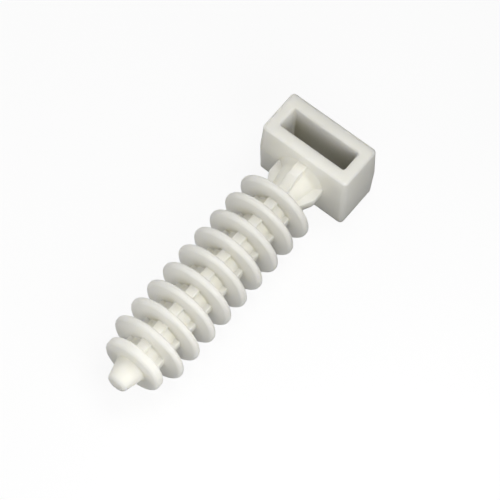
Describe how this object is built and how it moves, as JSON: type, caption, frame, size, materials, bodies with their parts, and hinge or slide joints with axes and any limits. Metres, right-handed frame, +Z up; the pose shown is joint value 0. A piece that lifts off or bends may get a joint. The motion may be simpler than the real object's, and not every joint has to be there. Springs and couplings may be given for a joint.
{
  "type": "cable tie mount",
  "caption": "One-piece moulded push-in cable tie mount: a ribbed wall plug with round fins and a drafted rectangular head whose slot takes a strap.",
  "frame": {"origin": "on the plug's axis, in the plane of the head's front crest, which is where the wall's surface is", "axes": "+Y along the plug from its tip to its head, +X along the strap slot's length, +Z up through the slot, so that the part lies on its fins and the head's underside"},
  "size_m": [0.0126, 0.0399, 0.0098],
  "materials": {
    "nylon": "natural off-white nylon, satin as moulded"
  },
  "bodies": {
    "root": {"tie_mount": "nylon"}
  },
  "joints": []
}
